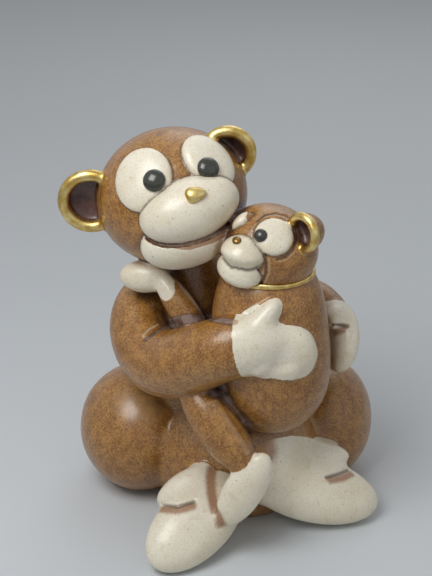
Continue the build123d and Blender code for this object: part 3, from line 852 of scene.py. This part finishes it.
@dataclass
class Monkey:
    """One of the two monkeys: which nodes take which coat, and where the clay is incised and painted.

    Its ears face ear_turn degrees away from the front. What counts as facing is the least cosine to that way.
    """

    brown: tuple[str, ...]
    cream: tuple[str, ...]
    rims: tuple[str, ...]
    ears: tuple[str, ...]
    lips: tuple[str, ...]
    ear_turn: float
    grooves: tuple[Groove, ...] = ()
    strokes: tuple[Stroke, ...] = ()
    fillets: tuple[Fillet, ...] = ()
    kneaded: tuple[tuple[str, int], ...] = ()
    kneaded_edge: int = 6
    edge_rounds: int = 2
    umber_rounds: int = 4
    facing: float = 0.05

    @property
    def members(self) -> tuple[str, ...]:
        """All its nodes that belong to the skin."""
        return (*self.brown, *self.cream, *self.rims, *self.ears, *self.lips)

    def slot_of(self, node: str) -> Slot:
        """The slot that a node's piece takes its finish from."""
        for slot, names in (
            (Slot.CREAM, self.cream),
            (Slot.GOLD, self.rims),
            (Slot.UMBER, self.ears),
            (Slot.LIP, self.lips),
        ):
            if node in names:
                return slot
        return Slot.BROWN

    def shape(self, skin: ClaySkin) -> None:
        """Rounds its creases and incises its lines."""
        for fillet in self.fillets:
            skin.round_off(fillet)
        for node, rounds in self.kneaded:
            skin.knead(skin.spread(skin.where([node]), self.kneaded_edge), rounds)
        for groove in self.grooves:
            skin.incise(groove)

    def coat(self, skin: ClaySkin) -> None:
        """Lays the coats, each a little blurred at its edge, with umber where the ears face forward."""
        for paint, names in ((Paint.CREAM, self.cream), (Paint.GOLD, self.rims), (Paint.LIP, self.lips)):
            if names:
                skin.lay(paint, skin.spread(skin.where(names), self.edge_rounds))
        turn = math.radians(self.ear_turn)
        forward = np.array([math.sin(turn), -math.cos(turn), 0.0])
        inside = skin.where(self.ears) * (skin.normals @ forward > self.facing)
        skin.lay(Paint.UMBER, skin.spread(inside, self.umber_rounds))

    def decorate(self, skin: ClaySkin, camera: PhotoCamera) -> None:
        """Lays its strokes."""
        for stroke in self.strokes:
            skin.stroke(stroke, camera)


def mother() -> Monkey:
    """The mother, with the lines and strokes that the photograph shows on her."""
    face = ("mother_muzzle", "mother_chin")
    eyes = ("mother_right_eye", "mother_left_eye")
    feet = ("mother_right_foot", "mother_left_foot")
    hands = ("mother_right_hand", "mother_left_hand")
    arms = ("mother_right_arm", "mother_left_arm")
    haunches = ("mother_right_haunch", "mother_left_haunch")
    rims = ("mother_right_ear_rim", "mother_left_ear_rim")
    ears = ("mother_right_ear", "mother_left_ear")
    held = ("baby_body", "baby_left_arm", "mother_right_arm")
    return Monkey(
        brown=("mother_head", "mother_body", *haunches, *arms),
        cream=(*face, *eyes, *feet, *hands),
        rims=rims,
        ears=ears,
        lips=("mother_mouth",),
        ear_turn=0.0,
        grooves=(
            Groove("eyes", eyes, ("mother_head",)),
            Groove("eyes_on_muzzle", eyes, ("mother_muzzle",)),
            Groove("muzzle", (*face, "mother_mouth"), ("mother_head",)),
            Groove("lip", ("mother_muzzle",), ("mother_mouth",), width=0.45 * MM, depth=0.2 * MM),
        ),
        fillets=(
            Fillet(arms, ("mother_body",)),
            Fillet(haunches, ("mother_body",)),
            Fillet(arms, haunches, reach=3 * MM, rounds=12),
            Fillet(arms, hands, reach=5 * MM, rounds=25),
            Fillet(("mother_head",), ("mother_body",), reach=5 * MM, rounds=25),
            Fillet(rims, (*ears, "mother_head"), reach=2.2 * MM, rounds=10),
            Fillet(feet, (*haunches, "mother_body"), reach=5 * MM, rounds=40),
            Fillet(("mother_body",), held, reach=7 * MM, rounds=60),
        ),
        kneaded=(
            ("mother_right_hand", 70),
            ("mother_left_hand", 50),
            ("mother_right_foot", 110),
            ("mother_left_foot", 110),
        ),
        strokes=(
            Stroke("right_toe_smear", None, ((202, 497), (212, 482), (220, 466)),
                   width=4 * MM, soft=5 * MM, on=("mother_right_foot",), smear=120),
            Stroke("right_toe_line", Paint.LINE, ((161, 504), (178, 506), (194, 501)),
                   width=0.6 * MM, soft=1.0 * MM, strength=0.9, depth=1.1 * MM, on=("mother_right_foot",)),
            Stroke("right_toe_patch", Paint.HAZE, ((163, 509), (178, 510), (192, 506)),
                   width=1.0 * MM, soft=2.6 * MM, on=("mother_right_foot",)),
            Stroke("right_foot_band", Paint.HAZE,
                   ((213, 464), (211, 478), (212, 492), (215, 508), (221, 524)),
                   width=1.4 * MM, soft=2.6 * MM, depth=0.4 * MM,
                   on=("mother_right_foot", "baby_left_foot")),
            Stroke("left_toe_smear", None, ((322, 478), (308, 472), (292, 462)),
                   width=4 * MM, soft=5 * MM, on=("mother_left_foot", "mother_body"), smear=120),
            Stroke("left_instep", Paint.CREAM, ((276, 449), (292, 446), (316, 448), (332, 452)),
                   width=7 * MM, soft=1.2 * MM,
                   on=("mother_body", "mother_left_foot", "mother_left_haunch")),
            Stroke("instep_fold", Paint.CREAM, ((268, 471), (278, 466), (289, 459), (303, 455)),
                   width=6 * MM, soft=1.5 * MM, on=("mother_body", "mother_left_foot", *haunches), smear=60),
            Stroke("left_toe_line", Paint.LINE, ((327, 477), (340, 473), (352, 468)),
                   width=0.6 * MM, soft=1.0 * MM, strength=0.9, depth=1.1 * MM, on=("mother_left_foot",)),
            Stroke("left_toe_patch", Paint.HAZE, ((331, 480), (342, 478), (351, 474)),
                   width=0.8 * MM, soft=2.4 * MM, on=("mother_left_foot",)),
            Stroke("left_ankle", Paint.HAZE, ((262, 436), (266, 452), (268, 470)),
                   width=3.0 * MM, soft=6.0 * MM, on=("mother_left_foot", "mother_body", *haunches)),
            Stroke("left_foot_strip", Paint.HAZE, ((262, 474), (256, 492), (250, 512)),
                   width=3.0 * MM, soft=2.8 * MM, on=("mother_left_foot",)),
            Stroke("left_wrist", Paint.CREAM, ((322, 290), (334, 292), (352, 300)),
                   width=9 * MM, soft=1.5 * MM, on=("mother_left_hand",), wipes=True),
            Stroke("left_hand_notch", Paint.LINE, ((331, 326), (347, 326)),
                   width=0.6 * MM, soft=1.0 * MM, strength=0.9, depth=1.4 * MM, on=("mother_left_hand",)),
            Stroke("left_hand_patch", Paint.HAZE, ((335, 332), (343, 329)),
                   width=0.8 * MM, soft=2.2 * MM, on=("mother_left_hand",)),
            Stroke("left_hand_edge", Paint.HAZE, ((329, 350), (332, 366), (336, 380)),
                   width=1.2 * MM, soft=2.6 * MM, strength=0.9, on=("mother_left_hand",)),
            Stroke("thumb_notch", Paint.LINE, ((282, 324), (289, 323)),
                   width=0.5 * MM, soft=0.9 * MM, strength=0.8, depth=0.9 * MM, on=("mother_right_hand",)),
            Stroke("palm_heel", None, ((262, 372), (276, 377), (290, 374)),
                   width=3 * MM, soft=4 * MM, depth=-1.2 * MM, on=("mother_right_hand",)),
            Stroke("lower_lip", Paint.LIP, ((147, 238), (165, 246), (190, 247), (214, 240), (232, 230)),
                   width=1.6 * MM, soft=0.8 * MM, depth=0.2 * MM, on=("mother_chin", "mother_mouth")),
            # Painted shade with dark stain in the elbow's fold, and a painted highlight with worn paint along
            # its ridge.
            Stroke("elbow_fold", Paint.WASH, ((146, 339), (154, 333), (163, 328), (171, 325)),
                   width=0.3 * MM, soft=2.0 * MM, strength=0.8, depth=0.6 * MM, on=("mother_right_arm",)),
            Stroke("elbow_rub", Paint.RUB, ((143, 336), (149, 330), (158, 325)),
                   width=0.3 * MM, soft=0.9 * MM, depth=-0.4 * MM, on=("mother_right_arm",)),
            # Dark stain with painted shade along the forearm's upper edge.
            Stroke("forearm_edge", Paint.WASH, ((172, 322), (186, 319), (206, 318), (234, 322)),
                   width=1.8 * MM, soft=1.8 * MM),
            # Painted sheen, with worn paint, on the top of the right haunch.
            Stroke("haunch_rub", Paint.RUB, ((128, 402), (152, 408)),
                   width=4 * MM, soft=12 * MM, strength=0.45, on=("mother_right_haunch",)),
        ),
    )


def baby() -> Monkey:
    """The baby, with the lines and strokes that the photograph shows on it."""
    face = ("baby_muzzle", "baby_chin")
    eyes = ("baby_left_eye", "baby_right_eye")
    return Monkey(
        brown=("baby_head", "baby_body", "baby_left_arm", "baby_left_leg"),
        cream=(*face, *eyes, "baby_left_hand", "baby_left_foot"),
        rims=("baby_left_ear_rim",),
        ears=("baby_left_ear",),
        lips=(),
        ear_turn=-50.0,
        grooves=(
            Groove("baby_eyes", eyes, ("baby_head",)),
            Groove("baby_eyes_on_muzzle", eyes, ("baby_muzzle",)),
            Groove("baby_muzzle", face, ("baby_head",)),
            Groove("baby_lip", ("baby_muzzle",), ("baby_chin",), width=0.6 * MM, depth=0.4 * MM),
        ),
        fillets=(
            Fillet(("baby_left_ear_rim",), ("baby_left_ear", "baby_head"), reach=1.8 * MM, rounds=8),
            Fillet(("baby_left_ear",), ("baby_head",), reach=3 * MM, rounds=20),
            Fillet(("baby_left_arm",), ("baby_left_hand",), reach=4 * MM, rounds=30),
            Fillet(("baby_left_leg",), ("baby_left_foot",), reach=3 * MM, rounds=20),
            Fillet(("baby_left_leg",), ("baby_body",), reach=2.5 * MM, rounds=10),
        ),
        strokes=(
            Stroke("hand_patch", Paint.CREAM, ((158, 272), (163, 282), (164, 290)),
                   width=4.5 * MM, soft=4.0 * MM, on=("baby_left_arm", "baby_left_hand")),
            # Painted highlight, with worn paint, along the raised ridge of the baby's leg.
            Stroke("leg_ridge", Paint.RUB, ((216, 402), (232, 428), (247, 452)),
                   width=0.4 * MM, soft=3.0 * MM, strength=0.40, depth=-1.3 * MM, on=("baby_left_leg",)),
            Stroke("pale_finger", Paint.CREAM, ((243, 315), (250, 311), (257, 307)),
                   width=1.4 * MM, soft=0.8 * MM, strength=0.9, depth=-0.5 * MM, on=("baby_body",)),
            Stroke("far_eye_edge", Paint.CREAM, ((253, 209), (252, 217), (246, 227)),
                   width=3.6 * MM, soft=0.6 * MM, depth=0.5 * MM, on=("baby_right_eye",), wipes=True),
            Stroke("mouth_lift", None, ((224, 262), (240, 272), (256, 271)),
                   width=1.5 * MM, soft=6.0 * MM, on=("baby_muzzle", "baby_chin"),
                   push=(0.0, 0.0, 1.9 * MM)),
            Stroke("eye_ring", Paint.LINE,
                   ((257, 221), (265, 215), (276, 213), (287, 216), (295, 225),
                    (298, 237), (294, 249), (286, 257), (277, 260)),
                   width=0.5 * MM, soft=0.6 * MM, depth=0.4 * MM, on=("baby_head",)),
            Stroke("cheek_line", Paint.LINE, ((263, 251), (266, 262), (266, 273), (261, 284)),
                   width=0.5 * MM, soft=0.7 * MM, depth=0.5 * MM, on=("baby_head", "baby_chin")),
            Stroke("ear_hollow", Paint.UMBER, ((299, 228), (302, 236), (301, 245)),
                   width=1.6 * MM, soft=1.6 * MM, strength=0.55, depth=0.3 * MM,
                   on=("baby_head", "baby_left_ear")),
        ),
    )


@dataclass(frozen=True)
class Lamp:
    """A soft square lamp, its place and size in metres and its power in watts."""

    name: str
    place: tuple[float, float, float]
    size: float
    power: float


@dataclass
class Studio:
    """A plain pale floor under soft light from the upper left, with a weaker fill on the right."""

    floor_size: float = 40.0
    floor_colour: str = "d0d5d9"
    sky_colour: str = "c6cbcf"
    floor_roughness: float = 0.9
    floor_shine: float = 0.1
    sky_strength: float = 0.32
    aim: tuple[float, float, float] = (0.0, 0.0, 80 * MM)
    lamps: tuple[Lamp, ...] = (
        Lamp("key", place=(-0.17, -0.22, 0.44), size=0.24, power=1.20),
        Lamp("fill", place=(0.62, -0.50, 0.38), size=0.70, power=0.35),
        Lamp("back", place=(0.15, 0.60, 0.70), size=0.60, power=1.20),
    )

    def build(self) -> None:
        """Makes the floor, the lamps and the world."""
        self.floor()
        for lamp in self.lamps:
            self.hang(lamp)
        self.world()

    def floor(self) -> None:
        """Lays the floor at the height that the figurine stands on."""
        slab = bmesh.new()
        bmesh.ops.create_grid(slab, x_segments=1, y_segments=1, size=self.floor_size / 2)
        mesh = bpy.data.meshes.new("studio_floor")
        slab.to_mesh(mesh)
        slab.free()
        floor = bpy.data.objects.new("studio_floor", mesh)
        bpy.context.scene.collection.objects.link(floor)
        paper = bpy.data.materials.new("studio_paper")
        paper.use_nodes = True
        shader = paper.node_tree.nodes["Principled BSDF"]
        shader.inputs["Base Color"].default_value = linear(self.floor_colour)
        shader.inputs["Roughness"].default_value = self.floor_roughness
        shader.inputs["Specular IOR Level"].default_value = self.floor_shine
        mesh.materials.append(paper)
        floor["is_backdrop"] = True

    def hang(self, lamp: Lamp) -> None:
        """Hangs a lamp that looks at the figurine."""
        light = bpy.data.lights.new(lamp.name, "AREA")
        light.size = lamp.size
        light.energy = lamp.power
        place = Vector(lamp.place)
        turn = (Vector(self.aim) - place).to_track_quat("-Z", "Y").to_matrix().to_4x4()
        hung = bpy.data.objects.new(lamp.name, light)
        hung.matrix_world = Matrix.Translation(place) @ turn
        bpy.context.scene.collection.objects.link(hung)

    def world(self) -> None:
        """Lights the room evenly, and shows the paper's colour to the camera and in reflections."""
        world = bpy.data.worlds.new("studio")
        bpy.context.scene.world = world
        world.use_nodes = True
        bench = NodeBench(world.node_tree)
        light = bench.tree.nodes["Background"]
        bench.link("ffffff", light.inputs["Color"])
        bench.link(self.sky_strength, light.inputs["Strength"])
        shown = bench.add("ShaderNodeBackground", {}, {"Color": self.sky_colour})
        path = bench.add("ShaderNodeLightPath")
        rays = {0: path.outputs["Is Camera Ray"], 1: path.outputs["Is Glossy Ray"]}
        seen = bench.add("ShaderNodeMath", {"operation": "MAXIMUM"}, rays)
        both = {0: seen.outputs[0], 1: light.outputs[0], 2: shown.outputs[0]}
        mix = bench.add("ShaderNodeMixShader", {}, both)
        bench.link(mix.outputs[0], bench.tree.nodes["World Output"].inputs["Surface"])


DROPLETS = (
    Droplet("mother_right_pupil", Slot.PUPIL),
    Droplet("mother_left_pupil", Slot.PUPIL),
    Droplet("baby_left_pupil", Slot.PUPIL),
    Droplet("mother_nose", Slot.GOLD, grow=1.06, pinch=0.38, tilt=14.0),
    Droplet("baby_nose", Slot.GOLD, grow=0.85, wash=0.85),
    Droplet("baby_collar", Slot.GOLD),
)

FINISHES = {
    Slot.BROWN: "antique_brown_stain",
    Slot.CREAM: "cream_slip",
    Slot.GOLD: "gold_lustre",
    Slot.UMBER: "umber_ear_stain",
    Slot.LIP: "lip_stain",
}


def gild(mesh: bpy.types.Mesh, wash: float) -> None:
    """Gives a small piece a full coat of gold, and some wash over it."""
    paint = np.zeros((len(mesh.vertices), len(Paint)))
    paint[:, Paint.GOLD.value] = 1.0
    paint[:, Paint.WASH.value] = wash
    hang_paint(mesh, paint)


def dress(piece: bpy.types.Object, node: str, finish: bpy.types.Material) -> None:
    """Puts a finish on a piece, ties it to the body, and hides the node that it stands for."""
    piece.data.materials.append(finish)
    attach(piece, BODY)
    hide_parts(node)
    log.info("piece %s of %d faces", piece.name, len(piece.data.polygons))


def corners() -> list[list[float]]:
    """The object's box as plain numbers."""
    return [list(corner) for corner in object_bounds()]


def make_clay(nodes: dict[str, bpy.types.Object], monkeys: Sequence[Monkey], camera: PhotoCamera) -> ClaySkin:
    """Casts the skin over the luted pieces, and works, paints and ages it.

    Args:
        nodes: the frame's nodes by name.
        monkeys: the mother and her baby.
        camera: the camera whose pixels the strokes follow.

    Returns:
        The painted skin, still in one.
    """
    members = tuple(name for monkey in monkeys for name in monkey.members)
    skin = ClaySkin(nodes, members, FINE_VOXEL)
    skin.cast()
    skin.smooth()
    for monkey in monkeys:
        monkey.shape(skin)
    for monkey in monkeys:
        monkey.coat(skin)
    skin.make_tree()
    for monkey in monkeys:
        monkey.decorate(skin, camera)
    skin.write()
    skin.make_tree()
    skin.age()
    return skin


def main() -> None:
    """Builds the looks, piece by piece."""
    logging.basicConfig(level=logging.INFO, format="%(relativeCreated)6d ms %(message)s")
    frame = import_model()
    camera = PhotoCamera()
    camera.build()
    bpy.context.scene.view_settings.view_transform = "Standard"
    Studio().build()
    monkeys = (mother(), baby())
    skin = make_clay(frame["nodes"], monkeys, camera)
    clay = PaintedClay()
    finishes = {slot: clay.build(name) for slot, name in FINISHES.items()}
    finishes[Slot.PUPIL] = PupilGloss().build()
    slots = {name: monkey.slot_of(name) for monkey in monkeys for name in monkey.members}
    for name, piece in sorted(skin.part().items()):
        dress(piece, name, finishes[slots[name]])
    for droplet in DROPLETS:
        piece = droplet.build(frame["nodes"])
        if droplet.slot is Slot.GOLD:
            gild(piece.data, droplet.wash)
        dress(piece, droplet.node, finishes[droplet.slot])


if __name__ == "__main__":
    main()
